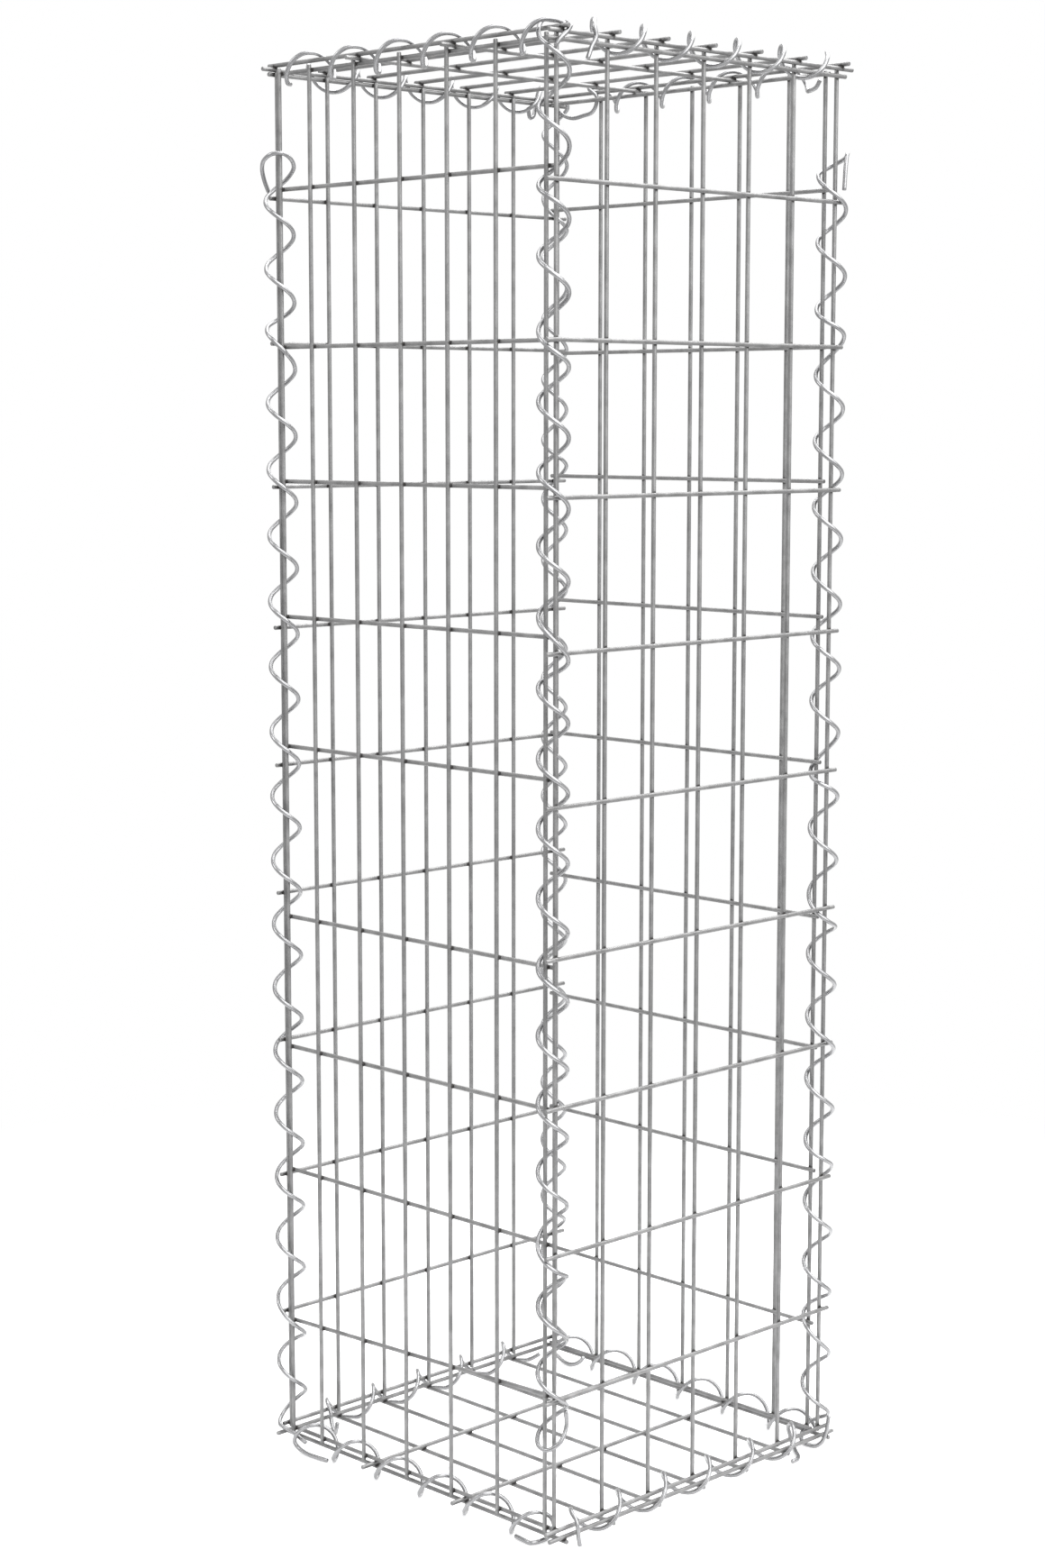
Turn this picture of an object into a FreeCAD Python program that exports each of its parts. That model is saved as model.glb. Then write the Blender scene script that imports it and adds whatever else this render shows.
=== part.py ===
import FreeCAD, Part
import math
import os

# Gabion basket, 300 x 300 x 1000 mm nominal, welded from 3 mm wire.
# Six flat sheets of crossed wires are laced along their twelve edges by helical binders.
# Frame: millimetres, +Z up, origin on the ground under the middle of the basket.
# The front panel faces -Y, the right panel +X, the back panel +Y, the left panel -X.

doc = FreeCAD.newDocument("gabion_basket")
sheet = doc.addObject("Spreadsheet::Sheet", "Sizes")
sheet.Label = "sizes"

VALUES = {
    # Wire and mesh
    "wire_dia": 3.0,
    "mesh_across": 46.12,
    "mesh_height": 100.0,
    "mesh_base": 46.05,
    # The basket between its panels' upright planes
    "basket_width": 275.7,
    "basket_depth": 276.2,
    # Front panel: cut edge, ends of its uprights, ends of its bars
    "front_first_upright": -101.6,
    "front_cut_mesh": 32.2,
    "front_foot": 9.2,
    "front_head": 994.9,
    "front_first_row": 103.6,
    "front_low_bar": 11.93,
    "front_high_bar": 991.63,
    "front_bar_start": -136.0,
    "front_bar_end": 135.3,
    # Right panel
    "right_first_upright": -138.1,
    "right_foot": 10.4,
    "right_head": 994.1,
    "right_first_row": 103.6,
    "right_low_bar": 13.8,
    "right_high_bar": 989.6,
    "right_bar_start": -149.6,
    "right_bar_end": 144.9,
    # Back panel
    "back_first_upright": -134.9,
    "back_cut_mesh": 32.8,
    "back_foot": 10.6,
    "back_head": 994.1,
    "back_first_row": 103.6,
    "back_low_bar": 11.93,
    "back_high_bar": 991.63,
    "back_bar_start": -138.1,
    "back_bar_end": 134.8,
    # Left panel
    "left_first_upright": -137.0,
    "left_foot": 12.6,
    "left_head": 993.0,
    "left_first_row": 103.6,
    "left_low_bar": 15.0,
    "left_high_bar": 991.4,
    "left_bar_start": -142.1,
    "left_bar_end": 152.9,
    # Lid: four long wires under seven cross wires
    "lid_first_wire": -140.15,
    "lid_first_cross": -136.5,
    "lid_wire_start": -148.1,
    "lid_wire_end": 151.9,
    "lid_cross_start": -147.0,
    "lid_cross_end": 147.8,
    # Base: four long wires over seven cross wires
    "base_first_wire": -140.85,
    "base_first_cross": -133.6,
    "base_wire_start": -148.1,
    "base_wire_end": 149.9,
    "base_cross_start": -149.4,
    "base_cross_end": 145.9,
    # Helical binders: radius to the wire's middle, pitch on a corner and on a top or bottom edge
    "coil_radius": 9.85,
    "coil_wire": 2.66,
    "coil_pitch": 46.2,
}

# How far each inner row of bars has slipped from an even mesh, from the lowest row up
ROW_SLIPS = {
    "front": [-9.0, 5.0, -3.0, -7.0, 17.0, 10.0, 6.0, 0.0, 9.0],
    "right": [0.5, 0.0, 0.0, 0.0, 0.0, 0.0, 0.0, 0.0, 0.0],
    "back": [-11.0, 4.5, -3.5, -7.0, 5.5, 10.0, 6.0, 0.0, 8.5],
    "left": [-2.5, 1.0, 1.5, 10.0, 3.0, 2.0, 2.0, 2.5, 3.0],
}
# How far each long wire of the lid and of the base lies from the first one
LID_WIRE_STEPS = [0.0, 88.2, 182.0, 281.2]
BASE_WIRE_STEPS = [0.0, 94.8, 188.6, 283.8]

UPRIGHTS_FULL_WIDTH = 7
UPRIGHTS_BEFORE_CUT = 6
CROSS_WIRES = 7
WIRE_SIDES = 8


def fill_sheet():
    row = 1
    for alias, value in VALUES.items():
        put_cell(row, alias, value)
        row += 1
    for side, slips in ROW_SLIPS.items():
        for number, slip in enumerate(slips, 1):
            put_cell(row, "%s_slip_%s" % (side, number), slip)
            row += 1
    for name, steps in (("lid", LID_WIRE_STEPS), ("base", BASE_WIRE_STEPS)):
        for number, step in enumerate(steps, 1):
            put_cell(row, "%s_step_%s" % (name, number), step)
            row += 1
    doc.recompute()


def put_cell(row, alias, value):
    sheet.set("A%d" % row, alias)
    sheet.set("B%d" % row, str(value))
    sheet.setAlias("B%d" % row, alias)


def size(alias):
    return float(sheet.get(alias))


def cells(formula):
    """Turn plain alias words in a formula into references to the sheet."""
    words = []
    for word in formula.split():
        is_name = word[0].isalpha() and "(" not in word
        words.append("<<sizes>>." + word if is_name else word)
    return " ".join(words)


def straight_wire(name, direction, x, y, z, start, end, rise="0"):
    """An eight-sided wire along X, Y or Z, from start to end on that axis.

    x, y and z are formulas for the wire's middle line; the one along the wire is left out.
    rise is how much higher a level wire ends than it starts.
    """
    wire = doc.addObject("Part::Prism", name)
    wire.Polygon = WIRE_SIDES
    wire.setExpression("Circumradius", cells("wire_dia / 2 / cos(180deg / %d)" % WIRE_SIDES))
    wire.setExpression("Height", cells("%s - ( %s )" % (end, start)))
    half_side = FreeCAD.Rotation(FreeCAD.Vector(0, 0, 1), 180.0 / WIRE_SIDES)
    turns = {
        "x": FreeCAD.Rotation(FreeCAD.Vector(0, 1, 0), 90),
        "y": FreeCAD.Rotation(FreeCAD.Vector(1, 0, 0), -90),
        "z": FreeCAD.Rotation(),
    }
    wire.Placement = FreeCAD.Placement(FreeCAD.Vector(), turns[direction].multiply(half_side))
    middle = {"x": x, "y": y, "z": z}
    middle[direction] = start
    for axis, formula in middle.items():
        wire.setExpression("Placement.Base." + axis, cells(formula))
    if rise != "0":
        tilt_wire(wire, direction, rise, start, end)
    return wire


def tilt_wire(wire, direction, rise, start, end):
    """Lean a level wire so that its far end is higher by rise."""
    doc.recompute()
    length = wire.Height.Value
    angle = math.degrees(math.asin(float(rise) / length))
    lean_axis = FreeCAD.Vector(0, -1, 0) if direction == "x" else FreeCAD.Vector(1, 0, 0)
    lean = FreeCAD.Rotation(lean_axis, angle)
    wire.Placement = FreeCAD.Placement(wire.Placement.Base, lean.multiply(wire.Placement.Rotation))


def group(label, wires):
    """One sub-part made of separate wires."""
    bundle = doc.addObject("Part::Compound", label)
    bundle.Label = label
    bundle.Links = wires
    return bundle


def panel(side, direction, plane, bar_plane, cut_edge):
    """Uprights in one plane and level bars welded across them.

    direction is the level axis of the panel; cut_edge is -1 or 1 where the mesh was cut
    short of a full mesh at its low or high edge, or 0 where it wasn't.
    """
    across = "y" if direction == "x" else "x"
    uprights = []
    count = UPRIGHTS_BEFORE_CUT if cut_edge else UPRIGHTS_FULL_WIDTH
    places = ["%s_first_upright + %d * mesh_across" % (side, i) for i in range(count)]
    if cut_edge < 0:
        places.insert(0, "%s_first_upright - %s_cut_mesh" % (side, side))
    if cut_edge > 0:
        places.append("%s_first_upright + %d * mesh_across + %s_cut_mesh" % (side, count - 1, side))
    for number, place in enumerate(places, 1):
        middle = {direction: place, across: plane, "z": "0"}
        uprights.append(straight_wire(
            "%s_upright_%d" % (side, number), "z", middle["x"], middle["y"], "0",
            side + "_foot", side + "_head"))

    bars = []
    heights = [side + "_low_bar"]
    for number in range(1, len(ROW_SLIPS[side]) + 1):
        heights.append("%s_first_row + %d * mesh_height + %s_slip_%d" % (side, number - 1, side, number))
    heights.append(side + "_high_bar")
    for number, height in enumerate(heights, 1):
        middle = {direction: "0", across: bar_plane, "z": height}
        rise = "10" if (side == "front" and number == 2) else "0"
        bars.append(straight_wire(
            "%s_bar_%d" % (side, number), direction, middle["x"], middle["y"], middle["z"],
            side + "_bar_start", side + "_bar_end", rise))
    return [group(side + "_panel_uprights", uprights), group(side + "_panel_crossbars", bars)]


def level_sheet(name, steps, pitch, wire_z, cross_z):
    """Lid or base: long wires along Y and cross wires along X, one layer on the other."""
    wires = []
    for number in range(1, len(steps) + 1):
        wires.append(straight_wire(
            "%s_wire_%d" % (name, number), "y",
            "%s_first_wire + %s_step_%d" % (name, name, number), "0", wire_z,
            name + "_wire_start", name + "_wire_end"))
    crosses = []
    for number in range(CROSS_WIRES):
        crosses.append(straight_wire(
            "%s_cross_%d" % (name, number + 1), "x", "0",
            "%s_first_cross + %d * %s" % (name, number, pitch), cross_z,
            name + "_cross_start", name + "_cross_end"))
    return [group(name + "_long_wires", wires), group(name + "_cross_wires", crosses)]


def build_sheets():
    front = "- basket_depth / 2"
    back = "basket_depth / 2"
    left = "- basket_width / 2"
    right = "basket_width / 2"
    nodes = []
    nodes += panel("front", "x", front, front + " + wire_dia", -1)
    nodes += panel("right", "y", right, right + " + wire_dia", 0)
    nodes += panel("back", "x", back, back + " - wire_dia", 1)
    nodes += panel("left", "y", left, left + " - wire_dia", 0)
    lid_wire_z = "front_high_bar + wire_dia"
    nodes += level_sheet("lid", LID_WIRE_STEPS, "mesh_across", lid_wire_z, lid_wire_z + " + wire_dia")
    base_wire_z = "front_low_bar - wire_dia"
    nodes += level_sheet("base", BASE_WIRE_STEPS, "mesh_base", base_wire_z, base_wire_z + " - wire_dia")
    return nodes


# Helical binders
CHORDS = 8
# Cut ends bent off the helix, from its last regular section outwards: each bend is
# (degrees onward round the axis, mm out from the helix, mm onward along the run)
NEAR_TOP = [(45, 0, 8.5), (66, 0, 12), (112, 0, 12), (158, 0, 11), (195, 0, 9), (220, 1, 7),
            (242, 0.5, 3), (270, 0, -1.5), (288, 0, -6)]
NEAR_FOOT = [(45, 0, 6.1), (90, 0, 7.3), (135, 0, 3.6), (180, 0, -5), (184, 0.5, -18)]
LEFT_TOP = [(22, 0.5, 2.5), (58, 1, 7.5), (94, 1.5, 11), (130, 2, 10.5), (166, 2, 7), (202, 2, 1.5),
            (228, 2, -7), (248, 2, -14)]
LEFT_FOOT = [(45, 0, 2.5), (86, -0.5, 4), (139, 17, 8.5)]
RIGHT_TOP = [(45, 0, 5.5), (88, 0, 9), (127, 0, 12.5), (168, 0, 15.5), (202, 0, 17.5), (215, 0.5, 19),
             (226, 0.5, 17.5), (232, 0.5, 14), (245, 0.5, -6.5)]
RIGHT_FOOT = [(45, 0, 4), (92, 0, 8), (132, 0, 13.5), (162, 0, 17.5), (194, 0.5, 18), (221, 1, 18),
              (247, 2, 18), (264, 3.5, 15), (275, 4, 9.5), (295, 3.5, -4)]
FAR_TOP = [(22, 0, 2), (45, 0, 3)]
FAR_FOOT = [(22, 0, 2.5), (34, 0, 4.5)]
FRONT_BASE_START = [(26, 0, 2.5), (46, 1, 2.5), (58, 2, -0.5), (65, 3, -6.5), (67, 3, -22.5),
                    (73, 2, -31.5)]
FRONT_BASE_END = [(45, 0, 3.5), (75, 0, 4.5), (100, 0.5, 3), (119, 1, 2), (150, -0.5, 1.5),
                  (182, 0, 1.5), (196, 2, -1), (199, 2, -5.5), (197, 1.5, -15.5)]
RIGHT_BASE_START = [(27, 0, 0.5), (67, 0, 1), (88, 1, 1), (112, 6, 0.5)]
RIGHT_BASE_END = [(45, 0, 3.5), (81, 0.5, 6.5), (106, 2, 7.5), (122, 3, 7.5), (137, 2, 5), (166, 1.5, 0),
                  (196, 4.5, -6), (205, 6.5, -11), (205, 6.5, -17)]
BACK_BASE_START = [(23, 0, 2.5), (43, 0.5, 1.5), (55, 1.5, -2.5), (63, 3, -8.5), (65, 3.5, -15),
                   (60, 2.5, -21.5), (45, 0.5, -27), (20, 0, -31)]
LEFT_BASE_START = [(38, 0, 1.5), (78, 1, 2.5), (92, 10, 5.5), (89, 12, 6.5), (82, 12.5, 7), (66, 12, 6)]
STRAIGHT_CUT = []


def coil_frame(run):
    """Unit vectors across a coil (first, second) and along it, so that it winds left-handed."""
    if run == "z":
        return FreeCAD.Vector(1, 0, 0), FreeCAD.Vector(0, 1, 0), FreeCAD.Vector(0, 0, -1)
    if run == "y":
        return FreeCAD.Vector(1, 0, 0), FreeCAD.Vector(0, 0, 1), FreeCAD.Vector(0, 1, 0)
    return FreeCAD.Vector(0, -1, 0), FreeCAD.Vector(0, 0, 1), FreeCAD.Vector(1, 0, 0)


def ring(run, centre, angle, radius, along, half_wire, half_height):
    """Four corners of the wire's section, cut in the plane through the coil's axis."""
    first, second, forward = coil_frame(run)
    outward = first * math.cos(math.radians(angle)) + second * math.sin(math.radians(angle))
    corners = []
    for out, up in ((-1, -1), (1, -1), (1, 1), (-1, 1)):
        reach = outward * (radius + out * half_wire)
        corners.append(centre + reach + forward * (along + up * half_height))
    return corners


def spot(run, centre, angle, radius, along):
    """A point on a coil's path."""
    first, second, forward = coil_frame(run)
    outward = first * math.cos(math.radians(angle)) + second * math.sin(math.radians(angle))
    return centre + outward * radius + forward * along


def bent_end(run, centre, corners, station, bends, way):
    """Sections of a cut end: the corners are carried along the wire from mitre to mitre.

    station is the last regular section; way is 1 at the end of the coil and -1 at its start.
    """
    angle, radius, along = station
    points = [spot(run, centre, angle, radius, along)]
    for degrees, outward, onward in bends:
        points.append(spot(run, centre, angle + way * degrees, radius + outward, along + way * onward))
    sections = []
    for number in range(1, len(points)):
        into = (points[number] - points[number - 1]).normalize()
        leaving = into
        if number + 1 < len(points):
            leaving = (points[number + 1] - points[number]).normalize()
        mitre = into + leaving
        moved = []
        for corner in corners:
            distance = (points[number] - corner).dot(mitre) / into.dot(mitre)
            moved.append(corner + into * distance)
        corners = moved
        sections.append(corners)
    return sections


def coil_solid(run, centre, stations, bends):
    """A closed solid through the sections at stations, each an (angle, radius, along), and its ends."""
    half_wire = size("coil_wire") / 2
    slope = size("coil_pitch") / (2 * math.pi * size("coil_radius"))
    half_height = half_wire * math.sqrt(1 + slope * slope)
    rings = [ring(run, centre, angle, radius, along, half_wire, half_height)
             for angle, radius, along in stations]
    head = bent_end(run, centre, rings[0], stations[0], bends[0], -1)
    tail = bent_end(run, centre, rings[-1], stations[-1], bends[1], 1)
    rings = head[::-1] + rings + tail
    regular = range(len(head), len(head) + len(stations) - 1)
    faces = [Part.Face(Part.makePolygon(rings[0] + rings[0][:1]))]
    for number, (near, far) in enumerate(zip(rings, rings[1:])):
        for side in range(4):
            a, b = near[side], near[(side + 1) % 4]
            c, d = far[(side + 1) % 4], far[side]
            if side in (1, 3) or number not in regular:
                faces.append(Part.Face(Part.makePolygon([a, b, c, d, a])))
            else:
                faces.append(Part.Face(Part.makePolygon([a, b, c, a])))
                faces.append(Part.Face(Part.makePolygon([a, c, d, a])))
    faces.append(Part.Face(Part.makePolygon(rings[-1] + rings[-1][:1])))
    shell = Part.Shell(faces)
    solid = Part.Solid(shell)
    if solid.Volume < 0:
        solid.reverse()
    return solid


def coil(label, run, centre, from_turn, to_turn, top_at, pitch, bends, crossings=()):
    """A helical binder.

    top_at is where along its run the coil first stands at its reference angle, and from_turn
    and to_turn count turns from there. bends are those of its start and of its end. crossings
    are (angle, along) of level bars that cross the coil's path: the turns are pushed along the
    run to clear them.
    """
    radius = size("coil_radius")
    reference = 90.0 if run != "z" else 225.5
    step = 360.0 / CHORDS
    first = math.ceil((reference + 360 * from_turn - step / 2) / step)
    last = math.floor((reference + 360 * to_turn - step / 2) / step)

    def along_at(number):
        angle = step / 2 + step * number
        along = top_at + pitch * (angle - reference) / 360.0
        return along + push_clear(angle, along, reference, top_at, pitch, crossings)

    stations = []
    for number in range(first, last + 1):
        stations.append((step / 2 + step * number, radius, along_at(number)))
    feature = doc.addObject("Part::Feature", label)
    feature.Label = label
    feature.Shape = coil_solid(run, FreeCAD.Vector(*centre), stations, bends)
    return feature


def push_clear(angle, along, reference, top_at, pitch, crossings):
    """How far a turn is moved along its run so that it clears the bars it crosses."""
    clear = 6.1
    push = 0.0
    for cross_angle, cross_along in crossings:
        turns = round(((cross_along - top_at) / pitch * 360.0 + reference - cross_angle) / 360.0)
        meet_angle = cross_angle + 360.0 * turns
        meet_along = top_at + pitch * (meet_angle - reference) / 360.0
        miss = meet_along - cross_along
        if abs(miss) >= clear:
            continue
        need = math.copysign(clear - abs(miss), miss)
        reach = abs(angle - meet_angle) / 180.0
        if reach < 1:
            push += need * (0.5 + 0.5 * math.cos(math.pi * reach))
    return push


def bar_crossings(side, centre):
    """Where a panel's bars cross the path of a corner binder: (angle, depth) of each."""
    radius = size("coil_radius")
    outside = size("wire_dia") if side in ("right", "left") else -size("wire_dia")
    half = size("basket_width" if side in ("right", "left") else "basket_depth") / 2 + outside
    plane = half if side in ("right", "back") else -half
    start = size(side + "_bar_start")
    end = size(side + "_bar_end")
    across, level = (0, 1) if side in ("right", "left") else (1, 0)
    offset = plane - centre[across]
    if abs(offset) >= radius:
        return []
    found = []
    margin = size("wire_dia")
    for sign in (-1, 1):
        reach = sign * math.sqrt(radius ** 2 - offset ** 2)
        if not start - margin < centre[level] + reach < end + margin:
            continue
        spot = [0, 0]
        spot[across] = offset
        spot[level] = reach
        angle = math.degrees(math.atan2(spot[1], spot[0]))
        for height in bar_heights(side):
            found.append((angle, -height))
    return found


def bar_heights(side):
    heights = [size(side + "_low_bar")]
    for number in range(1, len(ROW_SLIPS[side]) + 1):
        nominal = size(side + "_first_row") + (number - 1) * size("mesh_height")
        heights.append(nominal + size("%s_slip_%d" % (side, number)))
    heights.append(size(side + "_high_bar"))
    return heights


def corner_coil(label, sides, centre, highest, from_turn, to_turn, pitch, bends):
    """A binder down one corner; highest is where its first full turn stands out leftwards."""
    crossings = bar_crossings(sides[0], centre) + bar_crossings(sides[1], centre)
    return coil(
        label, "z", (centre[0], centre[1], 0), from_turn, to_turn, -highest, pitch, bends, crossings)


def build_coils():
    pitch = size("coil_pitch")
    mesh = size("mesh_across")
    width = size("basket_width") / 2
    depth = size("basket_depth") / 2
    nodes = []
    nodes.append(corner_coil(
        "near_corner_spiral", ("front", "right"), (width - 2.7, -depth + 0.65),
        993.5, 0, 20, 45.87, (NEAR_TOP, NEAR_FOOT)))
    nodes.append(corner_coil(
        "left_corner_spiral", ("front", "left"), (-width - 1.1, -depth + 3.2),
        905.4, -0.5, 19.05, 46.75, (LEFT_TOP, LEFT_FOOT)))
    nodes.append(corner_coil(
        "right_corner_spiral", ("back", "right"), (width - 3.35, depth + 1.6),
        921.0, 0, 19.6, 46.07, (RIGHT_TOP, RIGHT_FOOT)))
    nodes.append(corner_coil(
        "far_corner_spiral", ("back", "left"), (-width - 2.45, depth + 2.85),
        969.4, -0.5, 20.5, 46.5, (FAR_TOP, FAR_FOOT)))
    # run, centre, from_turn, to_turn, top_at, pitch, bends
    plain = (STRAIGHT_CUT, STRAIGHT_CUT)
    nodes.append(coil(
        "front_top_spiral", "x", (0, -depth - 2.0, 992.7), -0.6, 4.6, -97.85, mesh, plain))
    nodes.append(coil(
        "right_top_spiral", "y", (width + 0.2, 0, 995.4), -0.3, 5.0, -105.0, mesh, plain))
    nodes.append(coil(
        "back_top_spiral", "x", (0, depth + 0.8, 991.6), -0.6, 4.8, -96.15, mesh, plain))
    nodes.append(coil(
        "left_top_spiral", "y", (-width - 8.3, 0, 994.5), -0.3, 5.0, -100.5, mesh, plain))
    nodes.append(coil(
        "front_bottom_spiral", "x", (0, -depth + 0.85, 10.83), -0.25, 5.1, -110.75, mesh,
        (FRONT_BASE_START, FRONT_BASE_END)))
    nodes.append(coil(
        "right_bottom_spiral", "y", (width + 0.4, 0, 12.83), -0.1, 5.1, -121.6, mesh,
        (RIGHT_BASE_START, RIGHT_BASE_END)))
    nodes.append(coil(
        "back_bottom_spiral", "x", (0, depth + 1.0, 10.83), -0.25, 5.32, -117.15, mesh,
        (BACK_BASE_START, STRAIGHT_CUT)))
    nodes.append(coil(
        "left_bottom_spiral", "y", (-width - 6.9, 0, 10.33), -0.1, 4.7, -96.2, mesh,
        (LEFT_BASE_START, STRAIGHT_CUT)))
    return nodes


fill_sheet()
parts = build_sheets() + build_coils()
doc.recompute()

for item in doc.Objects:
    if "Invalid" in item.State or "Error" in item.State:
        raise RuntimeError("%s failed: %s" % (item.Label, item.State))
for part in parts:
    if part.Shape.isNull() or not part.Shape.isValid():
        raise RuntimeError("%s has no valid shape" % part.Label)

os.makedirs("parts", exist_ok=True)
for part in parts:
    part.Shape.exportStep("parts/%s.step" % part.Label)
    print("%s: %d solids, %.1f mm3" % (part.Label, len(part.Shape.Solids), part.Shape.Volume))
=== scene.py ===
import math
import bmesh
import bpy
from mathutils import Matrix, Vector
from mathutils.geometry import intersect_line_line


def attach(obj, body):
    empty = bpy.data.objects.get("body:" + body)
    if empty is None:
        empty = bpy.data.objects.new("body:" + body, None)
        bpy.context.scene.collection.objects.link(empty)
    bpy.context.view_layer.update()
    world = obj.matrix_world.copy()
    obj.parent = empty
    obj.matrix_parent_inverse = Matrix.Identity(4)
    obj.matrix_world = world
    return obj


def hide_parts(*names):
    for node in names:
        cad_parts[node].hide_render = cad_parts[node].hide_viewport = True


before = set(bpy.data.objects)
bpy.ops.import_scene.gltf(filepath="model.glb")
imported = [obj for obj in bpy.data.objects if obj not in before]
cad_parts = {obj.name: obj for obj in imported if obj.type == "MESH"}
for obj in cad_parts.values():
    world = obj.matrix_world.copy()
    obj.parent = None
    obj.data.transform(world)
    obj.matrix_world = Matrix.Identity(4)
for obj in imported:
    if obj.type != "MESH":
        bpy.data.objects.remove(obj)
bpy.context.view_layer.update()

# A basket of welded and galvanised wire, laced along its edges with helical binders.
# Every length is in metres. The wires' lines, the binders' axes and their turns are read from
# the frame; here they become round drawn wire with sheared ends, spot welds and a zinc finish.

# Wire
MESH_WIRE = 0.0030
BINDER_WIRE = 0.0030
WIRE_SIDES = 14
BINDER_SIDES = 12
SHEARED_EDGE = 0.00035
SHEARED_TIP = 0.82
ARC_STEP = 0.0018

# How the solids of the frame are read
SAME_CORNER = 1e-6
SECTION_CORNERS = 4
SECTION_ACROSS = 1.6 * BINDER_WIRE

# Spot welds, and the burnt zinc and painted contact shade near them
WELD_REACH = 1.15 * MESH_WIRE
WELD_BEAD = Vector((0.0018, 0.0018, 0.0011))
BEAD_SEGMENTS = 8
BEAD_RINGS = 5
# The weld bead is coloured all over as burnt zinc and painted contact shade
BEAD_BURN_AND_SHADE = 1.0
BURN_AND_SHADE_REACH = 0.0040
BURN_AND_SHADE_STEPS = (-1, -0.5, 0, 0.5, 1)
CLEAR_OF_ENDS = 0.002

# Colours of the zinc coat, linear
ZINC_DARK = (0.185, 0.184, 0.184, 1)
ZINC_LIGHT = (0.27, 0.269, 0.269, 1)
BINDER_DARK = (0.25, 0.25, 0.255, 1)
BINDER_LIGHT = (0.33, 0.33, 0.335, 1)
# Burnt zinc at the welds, which also stands in as painted contact shade where crossing wires meet
BURN_AND_SHADE_COLOUR = (0.050, 0.047, 0.046, 1)

# The coat's grain, per metre, and its gloss
MESH_PATCHES = 90.0
BINDER_PATCHES = 60.0
FINE_GRAIN = 1100.0
RAGGED_EDGE = 420.0
MESH_ROUGHNESS = (0.40, 0.56)
BINDER_ROUGHNESS = (0.20, 0.32)
BURN_AND_SHADE_ROUGHNESS = 0.65
METAL_SHARE = 0.85
GRAIN_STRENGTH = 0.12
GRAIN_DEPTH = 0.0002
RAGGEDNESS = 0.4
BURN_AND_SHADE_EDGE = (0.22, 0.60)
PATCH_SPREAD = (0.32, 0.68)
GRAIN_SPREAD = (0.3, 0.7)

# Viewpoint of the photograph, in its own frame of 1160 by 1740
CAMERA_PLACE = (1.40017, -1.40981, 0.75437)
CAMERA_PITCH = 82.57
CAMERA_TURN = 45.51
CAMERA_LENS = 64.0
CAMERA_SHIFT = (0.00135, -0.00176)

# Studio: the floor's size and paint, how far out it turns to plain white, and the lamps as place,
# size and power
FLOOR_SIZE = 30.0
FLOOR_PAINT = (0.80, 0.80, 0.80, 1)
FLOOR_LIFT = 0.50
FLOOR_FADE = (0.35, 1.1)
AIR_COLOUR = (0.95, 0.97, 1.0, 1)
AIR_STRENGTH = 0.45
BASKET_HEART = (0, 0, 0.5)
SOFTBOXES = {
    "overhead_softbox": ((-0.3, 1.1, 2.8), (3.0, 3.0), 115),
    "right_softbox": ((3.2, -0.2, 3.2), (5.0, 5.0), 270),
    "left_softbox": ((-0.9, -2.2, 2.4), (1.0, 1.4), 20),
}

# Opened cut ends of the lid's binders: how many sections of the regular winding they take the
# place of, and the points that they run through
BENT_STARTS = {
    "right_top_spiral": (0, [
        (0.1479, -0.1203, 0.9783), (0.1479, -0.1169, 0.9856), (0.1479, -0.1125, 0.9933)]),
    "back_top_spiral": (4, [
        (-0.1337, 0.1389, 0.9860), (-0.1288, 0.1389, 0.9830), (-0.1187, 0.1389, 0.9803),
        (-0.1082, 0.1389, 0.9814), (-0.0985, 0.1392, 0.9838), (-0.0948, 0.1390, 0.9885),
        (-0.0940, 0.1388, 0.9945)]),
}
BENT_ENDS = {
    "front_top_spiral": (0, [
        (0.1183, -0.1492, 0.9889), (0.1241, -0.1492, 0.9965), (0.1299, -0.1439, 1.0018),
        (0.1356, -0.1363, 1.0018), (0.1400, -0.1322, 0.9995)]),
    "left_top_spiral": (0, [
        (-0.1499, 0.1330, 1.0036), (-0.1545, 0.1355, 0.9990), (-0.1560, 0.1351, 0.9915),
        (-0.1560, 0.1322, 0.9835), (-0.1560, 0.1298, 0.9825), (-0.1560, 0.1273, 0.9885)]),
    "back_top_spiral": (2, [
        (0.1130, 0.1389, 0.9818), (0.1190, 0.1389, 0.9835), (0.1230, 0.1389, 0.9888)]),
}

PANELS = ("front", "right", "back", "left")
CORNERS = ("near", "left", "right", "far")


# Reading the frame

def solids_of(node):
    """Each solid in a node of the frame: its corners, and the corners that each is joined to."""
    bm = bmesh.new()
    bm.from_mesh(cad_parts[node].data)
    bmesh.ops.remove_doubles(bm, verts=bm.verts, dist=SAME_CORNER)
    bm.verts.ensure_lookup_table()
    unseen = set(range(len(bm.verts)))
    found = []
    while unseen:
        seed = min(unseen)
        unseen.remove(seed)
        reached = [seed]
        for number in reached:
            for edge in bm.verts[number].link_edges:
                other = edge.other_vert(bm.verts[number]).index
                if other in unseen:
                    unseen.remove(other)
                    reached.append(other)
        points = {}
        joined = {}
        for number in reached:
            corner = bm.verts[number]
            points[number] = corner.co.copy()
            joined[number] = [edge.other_vert(corner).index for edge in corner.link_edges]
        found.append((points, joined))
    bm.free()
    return found


def middle(points):
    """The point in the middle of some corners."""
    return sum(points, Vector()) / len(points)


def straight_lines(node):
    """The middle line of each straight wire of a node, as its two ends."""
    lines = []
    for points, _ in solids_of(node):
        corners = list(points.values())
        spread = [max(p[a] for p in corners) - min(p[a] for p in corners) for a in range(3)]
        axis = spread.index(max(spread))
        corners.sort(key=lambda p: p[axis])
        half = len(corners) // 2
        lines.append((middle(corners[:half]), middle(corners[half:])))
    return lines


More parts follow.
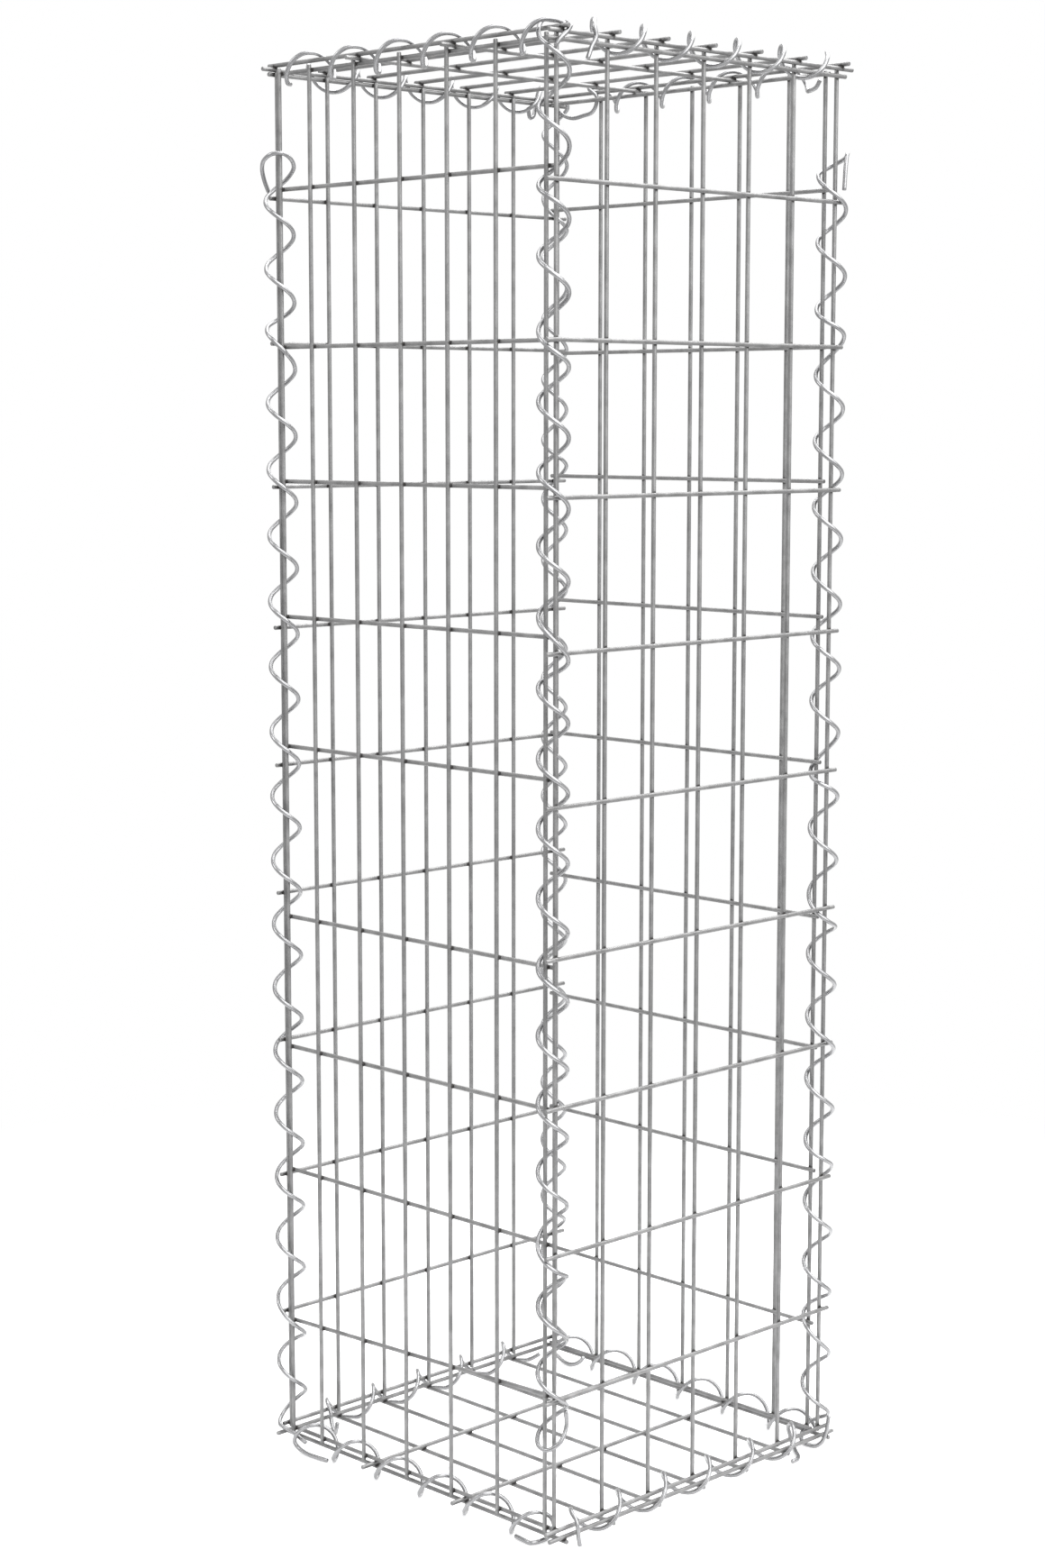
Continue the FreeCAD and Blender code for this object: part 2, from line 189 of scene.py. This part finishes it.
def hops_from(start, joined):
    """The corners of a solid in the order in which they are reached from one of them."""
    seen = {start}
    reached = [start]
    for number in reached:
        for other in joined[number]:
            if other not in seen:
                seen.add(other)
                reached.append(other)
    return reached


def coil_rings(node):
    """The middles of a binder's sections, one after the other from end to end."""
    points, joined = solids_of(node)[0]
    tip = hops_from(min(points), joined)[-1]

    def from_tip(number):
        return (points[number] - points[tip]).length

    near_tip = sorted(hops_from(tip, joined)[:SECTION_CORNERS + 2], key=from_tip)
    ring = [number for number in near_tip if from_tip(number) < SECTION_ACROSS][:SECTION_CORNERS]
    seen = set(ring)
    rings = []
    while ring:
        rings.append(middle([points[number] for number in ring]))
        ahead = {other for number in ring for other in joined[number]} - seen
        seen |= ahead
        ring = sorted(ahead)
    return rings


# Drawing wire

def heading(direction):
    """A turn that carries +Z to this direction."""
    return Vector((0, 0, 1)).rotation_difference(direction)


def draw_wire(bm, path, diameter, sides, welds=()):
    """A round wire along a path: one ring is drawn from point to point by extrusion.

    Both ends are sheared off square with a slightly drawn-in edge. The mesh keeps how far the
    zinc is burnt near the welds, which are points, as a value from 0 to 1; the same value paints
    contact shade there. The flat faces of the ends are given back.
    """
    first = (path[1] - path[0]).normalized()
    last = (path[-1] - path[-2]).normalized()
    stops = [(path[0], SHEARED_TIP)]
    stops += [(path[0] + first * SHEARED_EDGE, 1.0)]
    stops += [(point, 1.0) for point in path[1:-1]]
    stops += [(path[-1] - last * SHEARED_EDGE, 1.0), (path[-1], SHEARED_TIP)]

    turn = heading(first)
    travel = first
    places = []
    for number, (point, share) in enumerate(stops):
        before = stops[max(number - 1, 0)][0]
        after = stops[min(number + 1, len(stops) - 1)][0]
        ahead = (after - before).normalized()
        turn = travel.rotation_difference(ahead) @ turn
        travel = ahead
        size = Matrix.Scale(share * diameter / 2, 4)
        places.append(Matrix.Translation(point) @ turn.to_matrix().to_4x4() @ size)

    start = bmesh.ops.create_circle(
        bm, cap_ends=False, radius=1.0, segments=sides, matrix=places[0])
    verts = start["verts"]
    edges = list({e for v in verts for e in v.link_edges})
    drawn_verts = list(verts)
    caps = [bmesh.ops.contextual_create(bm, geom=edges)["faces"]]
    for before, after in zip(places, places[1:]):
        drawn = bmesh.ops.extrude_edge_only(bm, edges=edges)["geom"]
        verts = [g for g in drawn if isinstance(g, bmesh.types.BMVert)]
        edges = [g for g in drawn if isinstance(g, bmesh.types.BMEdge)]
        bmesh.ops.transform(bm, matrix=after @ before.inverted(), verts=verts)
        drawn_verts += verts
    burn_and_shade_near_welds(bm, drawn_verts, welds)
    caps.append(bmesh.ops.contextual_create(bm, geom=edges)["faces"])
    return [face for cap in caps for face in cap]


def burn_and_shade_near_welds(bm, verts, welds):
    """Keep with each corner of a wire how near it is to a weld, for the burnt zinc and the painted
    contact shade there.
    """
    burn_and_shade_layer = bm.verts.layers.float["near_weld_burn_and_shade"]
    for vert in verts:
        nearest = min([(vert.co - weld).length for weld in welds], default=BURN_AND_SHADE_REACH)
        vert[burn_and_shade_layer] = max(0.0, 1 - nearest / BURN_AND_SHADE_REACH)


def new_piece(name, bm, flat_faces, material, replaced):
    """A finished piece of the basket, riding on the frame in place of its plain solids."""
    bmesh.ops.recalc_face_normals(bm, faces=bm.faces)
    for face in bm.faces:
        face.smooth = True
    for face in flat_faces:
        face.smooth = False
    mesh = bpy.data.meshes.new(name)
    bm.to_mesh(mesh)
    bm.free()
    mesh.materials.append(material)
    piece = bpy.data.objects.new(name, mesh)
    bpy.context.scene.collection.objects.link(piece)
    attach(piece, "root")
    if replaced:
        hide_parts(replaced)


def new_mesh():
    """An empty mesh that can keep, near the welds, the value for burnt zinc and painted contact
    shade.
    """
    bm = bmesh.new()
    bm.verts.layers.float.new("near_weld_burn_and_shade")
    return bm


# Welded mesh

def meeting(line, other):
    """Where two crossing wires touch: the nearest points of their middle lines, or None."""
    pair = intersect_line_line(line[0], line[1], other[0], other[1])
    if pair is None or (pair[0] - pair[1]).length > WELD_REACH:
        return None
    for (start, end), spot in ((line, pair[0]), (other, pair[1])):
        share = (spot - start).dot(end - start) / (end - start).length_squared
        if not 0 <= share <= 1:
            return None
    return pair


def welded_wire(bm, line, crossed):
    """One straight wire with its zinc burnt and contact shade painted where it is welded to the
    wires that it crosses.
    """
    start, end = line
    length = (end - start).length
    shares = {0.0, 1.0}
    welds = []
    for other in crossed:
        pair = meeting(line, other)
        if not pair:
            continue
        welds.append((pair[0] + pair[1]) / 2)
        spot = (pair[0] - start).length / length
        for step in BURN_AND_SHADE_STEPS:
            share = spot + step * BURN_AND_SHADE_REACH / length
            if CLEAR_OF_ENDS < share < 1 - CLEAR_OF_ENDS:
                shares.add(share)
    path = [start.lerp(end, share) for share in sorted(shares)]
    return draw_wire(bm, path, MESH_WIRE, WIRE_SIDES, welds)


def spot_welds(bm, lines, others):
    """A flattened bead of fused metal between each pair of wires that touch, coloured all over as
    burnt zinc and painted contact shade.
    """
    burn_and_shade_layer = bm.verts.layers.float["near_weld_burn_and_shade"]
    for line in lines:
        for other in others:
            pair = meeting(line, other)
            if not pair:
                continue
            place = Matrix.Translation((pair[0] + pair[1]) / 2)
            lie = heading((pair[1] - pair[0]).normalized()).to_matrix().to_4x4()
            shape = Matrix.Diagonal((*WELD_BEAD, 1))
            bead = bmesh.ops.create_uvsphere(
                bm, u_segments=BEAD_SEGMENTS, v_segments=BEAD_RINGS, radius=1.0,
                matrix=place @ lie @ shape)
            for vert in bead["verts"]:
                vert[burn_and_shade_layer] = BEAD_BURN_AND_SHADE


def welded_sheet(name, first_node, second_node, material):
    """Two layers of straight wires, spot-welded wherever they cross."""
    first = straight_lines(first_node)
    second = straight_lines(second_node)
    for node, lines, others in ((first_node, first, second), (second_node, second, first)):
        bm = new_mesh()
        flat = []
        for line in lines:
            flat += welded_wire(bm, line, others)
        new_piece(node + "_drawn", bm, flat, material, node)
    bm = new_mesh()
    spot_welds(bm, first, second)
    new_piece(name + "_spot_welds", bm, [], material, None)


# Helical binders

def slope_at(before, here, after):
    """The wire's direction at a section, from the neighbouring ones and their distances."""
    back = (here - before).length
    ahead = (after - here).length
    return ((here - before) * (ahead / back) + (after - here) * (back / ahead)) / (back + ahead)


def rounded_path(rings):
    """A smooth path through the middles of a binder's sections, never lower than on the ground."""
    slopes = [(rings[1] - rings[0]).normalized()]
    for before, here, after in zip(rings, rings[1:], rings[2:]):
        slopes.append(slope_at(before, here, after))
    slopes.append((rings[-1] - rings[-2]).normalized())
    path = []
    for number in range(len(rings) - 1):
        here, there = rings[number], rings[number + 1]
        length = (there - here).length
        leave, arrive = slopes[number] * length, slopes[number + 1] * length
        steps = max(1, round(length / ARC_STEP))
        for step in range(steps):
            t = step / steps
            path.append(
                (2 * t ** 3 - 3 * t ** 2 + 1) * here + (t ** 3 - 2 * t ** 2 + t) * leave
                + (3 * t ** 2 - 2 * t ** 3) * there + (t ** 3 - t ** 2) * arrive)
    path.append(rings[-1])
    for point in path:
        point.z = max(point.z, BINDER_WIRE / 2)
    return path


def bent_rings(node):
    """The middles of a binder's sections with its opened cut ends, start first."""
    rings = coil_rings(node)
    if sum(rings[-1]) < sum(rings[0]):
        rings.reverse()
    start_dropped, start = BENT_STARTS.get(node, (0, []))
    end_dropped, end = BENT_ENDS.get(node, (0, []))
    rings = rings[start_dropped:len(rings) - end_dropped]
    return [Vector(point) for point in start] + rings + [Vector(point) for point in end]


def binder(node, material):
    """One helical binder of round wire."""
    bm = new_mesh()
    flat = draw_wire(bm, rounded_path(bent_rings(node)), BINDER_WIRE, BINDER_SIDES)
    new_piece(node + "_wound", bm, flat, material, node)


# Finish

def group_socket(tree, name, way, kind, value=None):
    """A named input or output of a shader group."""
    socket = tree.interface.new_socket(name=name, in_out=way, socket_type=kind)
    if value is not None:
        socket.default_value = value
    return socket


def zinc_group():
    """Mottled hot-dip zinc: a colour between two greys, a roughness and a fine unevenness."""
    tree = bpy.data.node_groups.new("zinc_coat", "ShaderNodeTree")
    group_socket(tree, "Dark", "INPUT", "NodeSocketColor", ZINC_DARK)
    group_socket(tree, "Light", "INPUT", "NodeSocketColor", ZINC_LIGHT)
    group_socket(tree, "Patch Size", "INPUT", "NodeSocketFloat", MESH_PATCHES)
    group_socket(tree, "Roughness From", "INPUT", "NodeSocketFloat", MESH_ROUGHNESS[0])
    group_socket(tree, "Roughness To", "INPUT", "NodeSocketFloat", MESH_ROUGHNESS[1])
    group_socket(tree, "Color", "OUTPUT", "NodeSocketColor")
    group_socket(tree, "Roughness", "OUTPUT", "NodeSocketFloat")
    group_socket(tree, "Height", "OUTPUT", "NodeSocketFloat")
    nodes, links = tree.nodes, tree.links
    given = nodes.new("NodeGroupInput")
    result = nodes.new("NodeGroupOutput")
    place = nodes.new("ShaderNodeTexCoord")
    patches = nodes.new("ShaderNodeTexNoise")
    patches.inputs["Detail"].default_value = 3.0
    links.new(place.outputs["Object"], patches.inputs["Vector"])
    links.new(given.outputs["Patch Size"], patches.inputs["Scale"])
    spread = nodes.new("ShaderNodeMapRange")
    spread.inputs["From Min"].default_value = PATCH_SPREAD[0]
    spread.inputs["From Max"].default_value = PATCH_SPREAD[1]
    links.new(patches.outputs["Fac"], spread.inputs["Value"])
    grain = nodes.new("ShaderNodeTexNoise")
    grain.inputs["Scale"].default_value = FINE_GRAIN
    grain.inputs["Detail"].default_value = 4.0
    links.new(place.outputs["Object"], grain.inputs["Vector"])
    tone = nodes.new("ShaderNodeMix")
    tone.data_type = "RGBA"
    links.new(spread.outputs["Result"], tone.inputs["Factor"])
    links.new(given.outputs["Dark"], tone.inputs["A"])
    links.new(given.outputs["Light"], tone.inputs["B"])
    rough = nodes.new("ShaderNodeMapRange")
    links.new(grain.outputs["Fac"], rough.inputs["Value"])
    rough.inputs["From Min"].default_value = GRAIN_SPREAD[0]
    rough.inputs["From Max"].default_value = GRAIN_SPREAD[1]
    links.new(given.outputs["Roughness From"], rough.inputs["To Min"])
    links.new(given.outputs["Roughness To"], rough.inputs["To Max"])
    links.new(tone.outputs["Result"], result.inputs["Color"])
    links.new(rough.outputs["Result"], result.inputs["Roughness"])
    links.new(grain.outputs["Fac"], result.inputs["Height"])
    return tree


def burn_and_shade_group():
    """A ragged mask of burnt zinc and painted contact shade, from the nearness to the welds kept
    with the mesh.
    """
    tree = bpy.data.node_groups.new("weld_burn_and_shade_mask", "ShaderNodeTree")
    group_socket(tree, "Raggedness", "INPUT", "NodeSocketFloat", RAGGEDNESS)
    group_socket(tree, "Mask", "OUTPUT", "NodeSocketFloat")
    nodes, links = tree.nodes, tree.links
    given = nodes.new("NodeGroupInput")
    result = nodes.new("NodeGroupOutput")
    burn_and_shade_amount = nodes.new("ShaderNodeAttribute")
    burn_and_shade_amount.attribute_name = "near_weld_burn_and_shade"
    place = nodes.new("ShaderNodeTexCoord")
    ragged = nodes.new("ShaderNodeTexNoise")
    ragged.inputs["Scale"].default_value = RAGGED_EDGE
    ragged.inputs["Detail"].default_value = 2.0
    links.new(place.outputs["Object"], ragged.inputs["Vector"])
    lift = nodes.new("ShaderNodeMath")
    lift.operation = "SUBTRACT"
    links.new(ragged.outputs["Fac"], lift.inputs[0])
    lift.inputs[1].default_value = 0.5
    scaled = nodes.new("ShaderNodeMath")
    scaled.operation = "MULTIPLY_ADD"
    links.new(lift.outputs["Value"], scaled.inputs[0])
    links.new(given.outputs["Raggedness"], scaled.inputs[1])
    links.new(burn_and_shade_amount.outputs["Fac"], scaled.inputs[2])
    edge = nodes.new("ShaderNodeMapRange")
    edge.interpolation_type = "SMOOTHSTEP"
    edge.inputs["From Min"].default_value = BURN_AND_SHADE_EDGE[0]
    edge.inputs["From Max"].default_value = BURN_AND_SHADE_EDGE[1]
    links.new(scaled.outputs["Value"], edge.inputs["Value"])
    links.new(edge.outputs["Result"], result.inputs["Mask"])
    return tree


def galvanised(name, dark, light, patch_size, roughness, burn_and_shade=None):
    """Zinc-coated steel wire, with burnt zinc and painted contact shade at its welds where a
    raggedness for that mark is given.
    """
    material = bpy.data.materials.new(name)
    material.use_nodes = True
    nodes, links = material.node_tree.nodes, material.node_tree.links
    shader = nodes["Principled BSDF"]
    shader.inputs["Metallic"].default_value = METAL_SHARE
    coat = nodes.new("ShaderNodeGroup")
    coat.node_tree = ZINC
    coat.inputs["Dark"].default_value = dark
    coat.inputs["Light"].default_value = light
    coat.inputs["Patch Size"].default_value = patch_size
    coat.inputs["Roughness From"].default_value = roughness[0]
    coat.inputs["Roughness To"].default_value = roughness[1]
    bump = nodes.new("ShaderNodeBump")
    bump.inputs["Strength"].default_value = GRAIN_STRENGTH
    bump.inputs["Distance"].default_value = GRAIN_DEPTH
    links.new(coat.outputs["Height"], bump.inputs["Height"])
    links.new(bump.outputs["Normal"], shader.inputs["Normal"])
    if burn_and_shade is None:
        links.new(coat.outputs["Color"], shader.inputs["Base Color"])
        links.new(coat.outputs["Roughness"], shader.inputs["Roughness"])
        return material
    mark = nodes.new("ShaderNodeGroup")
    mark.node_tree = BURN_AND_SHADE
    mark.inputs["Raggedness"].default_value = burn_and_shade
    # Painted contact shade and burnt zinc darken the wire near its welds
    tint = nodes.new("ShaderNodeMix")
    tint.data_type = "RGBA"
    links.new(mark.outputs["Mask"], tint.inputs["Factor"])
    links.new(coat.outputs["Color"], tint.inputs["A"])
    tint.inputs["B"].default_value = BURN_AND_SHADE_COLOUR
    links.new(tint.outputs["Result"], shader.inputs["Base Color"])
    dull = nodes.new("ShaderNodeMix")
    links.new(mark.outputs["Mask"], dull.inputs["Factor"])
    links.new(coat.outputs["Roughness"], dull.inputs["A"])
    dull.inputs["B"].default_value = BURN_AND_SHADE_ROUGHNESS
    links.new(dull.outputs["Result"], shader.inputs["Roughness"])
    return material


# Studio

def seen_directly(nodes, links):
    """1 on rays from the camera, from a gloss or through glass, which see the white backdrop."""
    path = nodes.new("ShaderNodeLightPath")
    both = nodes.new("ShaderNodeMath")
    both.operation = "MAXIMUM"
    links.new(path.outputs["Is Camera Ray"], both.inputs[0])
    links.new(path.outputs["Is Glossy Ray"], both.inputs[1])
    all_three = nodes.new("ShaderNodeMath")
    all_three.operation = "MAXIMUM"
    links.new(both.outputs["Value"], all_three.inputs[0])
    links.new(path.outputs["Is Transmission Ray"], all_three.inputs[1])
    return all_three.outputs["Value"]


def white_world():
    """Soft pale air that looks plain white where it is seen."""
    world = bpy.data.worlds.new("studio_air")
    world.use_nodes = True
    bpy.context.scene.world = world
    nodes, links = world.node_tree.nodes, world.node_tree.links
    soft = nodes["Background"]
    soft.inputs["Color"].default_value = AIR_COLOUR
    soft.inputs["Strength"].default_value = AIR_STRENGTH
    backdrop = nodes.new("ShaderNodeBackground")
    backdrop.inputs["Color"].default_value = (1, 1, 1, 1)
    backdrop.inputs["Strength"].default_value = 1.0
    choose = nodes.new("ShaderNodeMixShader")
    links.new(seen_directly(nodes, links), choose.inputs["Fac"])
    links.new(soft.outputs["Background"], choose.inputs[1])
    links.new(backdrop.outputs["Background"], choose.inputs[2])
    links.new(choose.outputs["Shader"], nodes["World Output"].inputs["Surface"])


def pale_floor():
    """A large pale floor that keeps the basket's shadow and turns to plain white further out."""
    bm = bmesh.new()
    bmesh.ops.create_grid(bm, x_segments=1, y_segments=1, size=FLOOR_SIZE)
    mesh = bpy.data.meshes.new("floor")
    bm.to_mesh(mesh)
    bm.free()
    floor = bpy.data.objects.new("floor", mesh)
    bpy.context.scene.collection.objects.link(floor)
    material = bpy.data.materials.new("studio_floor")
    material.use_nodes = True
    nodes, links = material.node_tree.nodes, material.node_tree.links
    paint = nodes["Principled BSDF"]
    paint.inputs["Base Color"].default_value = FLOOR_PAINT
    paint.inputs["Roughness"].default_value = 1.0
    paint.inputs["Specular IOR Level"].default_value = 0.0
    lift = nodes.new("ShaderNodeEmission")
    lift.inputs["Strength"].default_value = FLOOR_LIFT
    white = nodes.new("ShaderNodeEmission")
    white.inputs["Strength"].default_value = 1.0
    lifted = nodes.new("ShaderNodeAddShader")
    links.new(paint.outputs["BSDF"], lifted.inputs[0])
    links.new(lift.outputs["Emission"], lifted.inputs[1])
    place = nodes.new("ShaderNodeTexCoord")
    distance = nodes.new("ShaderNodeVectorMath")
    distance.operation = "LENGTH"
    links.new(place.outputs["Object"], distance.inputs[0])
    fade = nodes.new("ShaderNodeMapRange")
    fade.interpolation_type = "SMOOTHSTEP"
    fade.inputs["From Min"].default_value = FLOOR_FADE[0]
    fade.inputs["From Max"].default_value = FLOOR_FADE[1]
    links.new(distance.outputs["Value"], fade.inputs["Value"])
    far = nodes.new("ShaderNodeMixShader")
    links.new(fade.outputs["Result"], far.inputs["Fac"])
    links.new(lifted.outputs["Shader"], far.inputs[1])
    links.new(white.outputs["Emission"], far.inputs[2])
    choose = nodes.new("ShaderNodeMixShader")
    links.new(seen_directly(nodes, links), choose.inputs["Fac"])
    links.new(paint.outputs["BSDF"], choose.inputs[1])
    links.new(far.outputs["Shader"], choose.inputs[2])
    links.new(choose.outputs["Shader"], nodes["Material Output"].inputs["Surface"])
    mesh.materials.append(material)


def softbox(name, place, size, power):
    """A soft lamp that shines on the middle of the basket."""
    lamp = bpy.data.lights.new(name, "AREA")
    lamp.shape = "RECTANGLE"
    lamp.size, lamp.size_y = size
    lamp.energy = power
    holder = bpy.data.objects.new(name, lamp)
    holder.location = place
    aim = Vector(BASKET_HEART) - Vector(place)
    holder.rotation_euler = aim.to_track_quat("-Z", "Y").to_euler()
    bpy.context.scene.collection.objects.link(holder)


def studio():
    """The floor, the air, the lamps and the camera."""
    white_world()
    pale_floor()
    for name, (place, size, power) in SOFTBOXES.items():
        softbox(name, place, size, power)
    lens = bpy.data.cameras.new("viewpoint")
    lens.lens = CAMERA_LENS
    lens.shift_x, lens.shift_y = CAMERA_SHIFT
    camera = bpy.data.objects.new("viewpoint", lens)
    camera.location = CAMERA_PLACE
    camera.rotation_euler = (math.radians(CAMERA_PITCH), 0, math.radians(CAMERA_TURN))
    bpy.context.scene.collection.objects.link(camera)
    bpy.context.scene.camera = camera
    bpy.context.scene.view_settings.view_transform = "Standard"


# The basket

ZINC = zinc_group()
BURN_AND_SHADE = burn_and_shade_group()
# The welded mesh's zinc carries burnt zinc and painted contact shade near its welds
welded_zinc = galvanised(
    "welded_mesh_zinc", ZINC_DARK, ZINC_LIGHT, MESH_PATCHES, MESH_ROUGHNESS, burn_and_shade=RAGGEDNESS)
binder_zinc = galvanised(
    "binder_zinc", BINDER_DARK, BINDER_LIGHT, BINDER_PATCHES, BINDER_ROUGHNESS)

for side in PANELS:
    panel = side + "_panel"
    welded_sheet(panel, panel + "_uprights", panel + "_crossbars", welded_zinc)
for level in ("lid", "base"):
    welded_sheet(level, level + "_long_wires", level + "_cross_wires", welded_zinc)
for corner in CORNERS:
    binder(corner + "_corner_spiral", binder_zinc)
for side in PANELS:
    binder(side + "_top_spiral", binder_zinc)
    binder(side + "_bottom_spiral", binder_zinc)
studio()
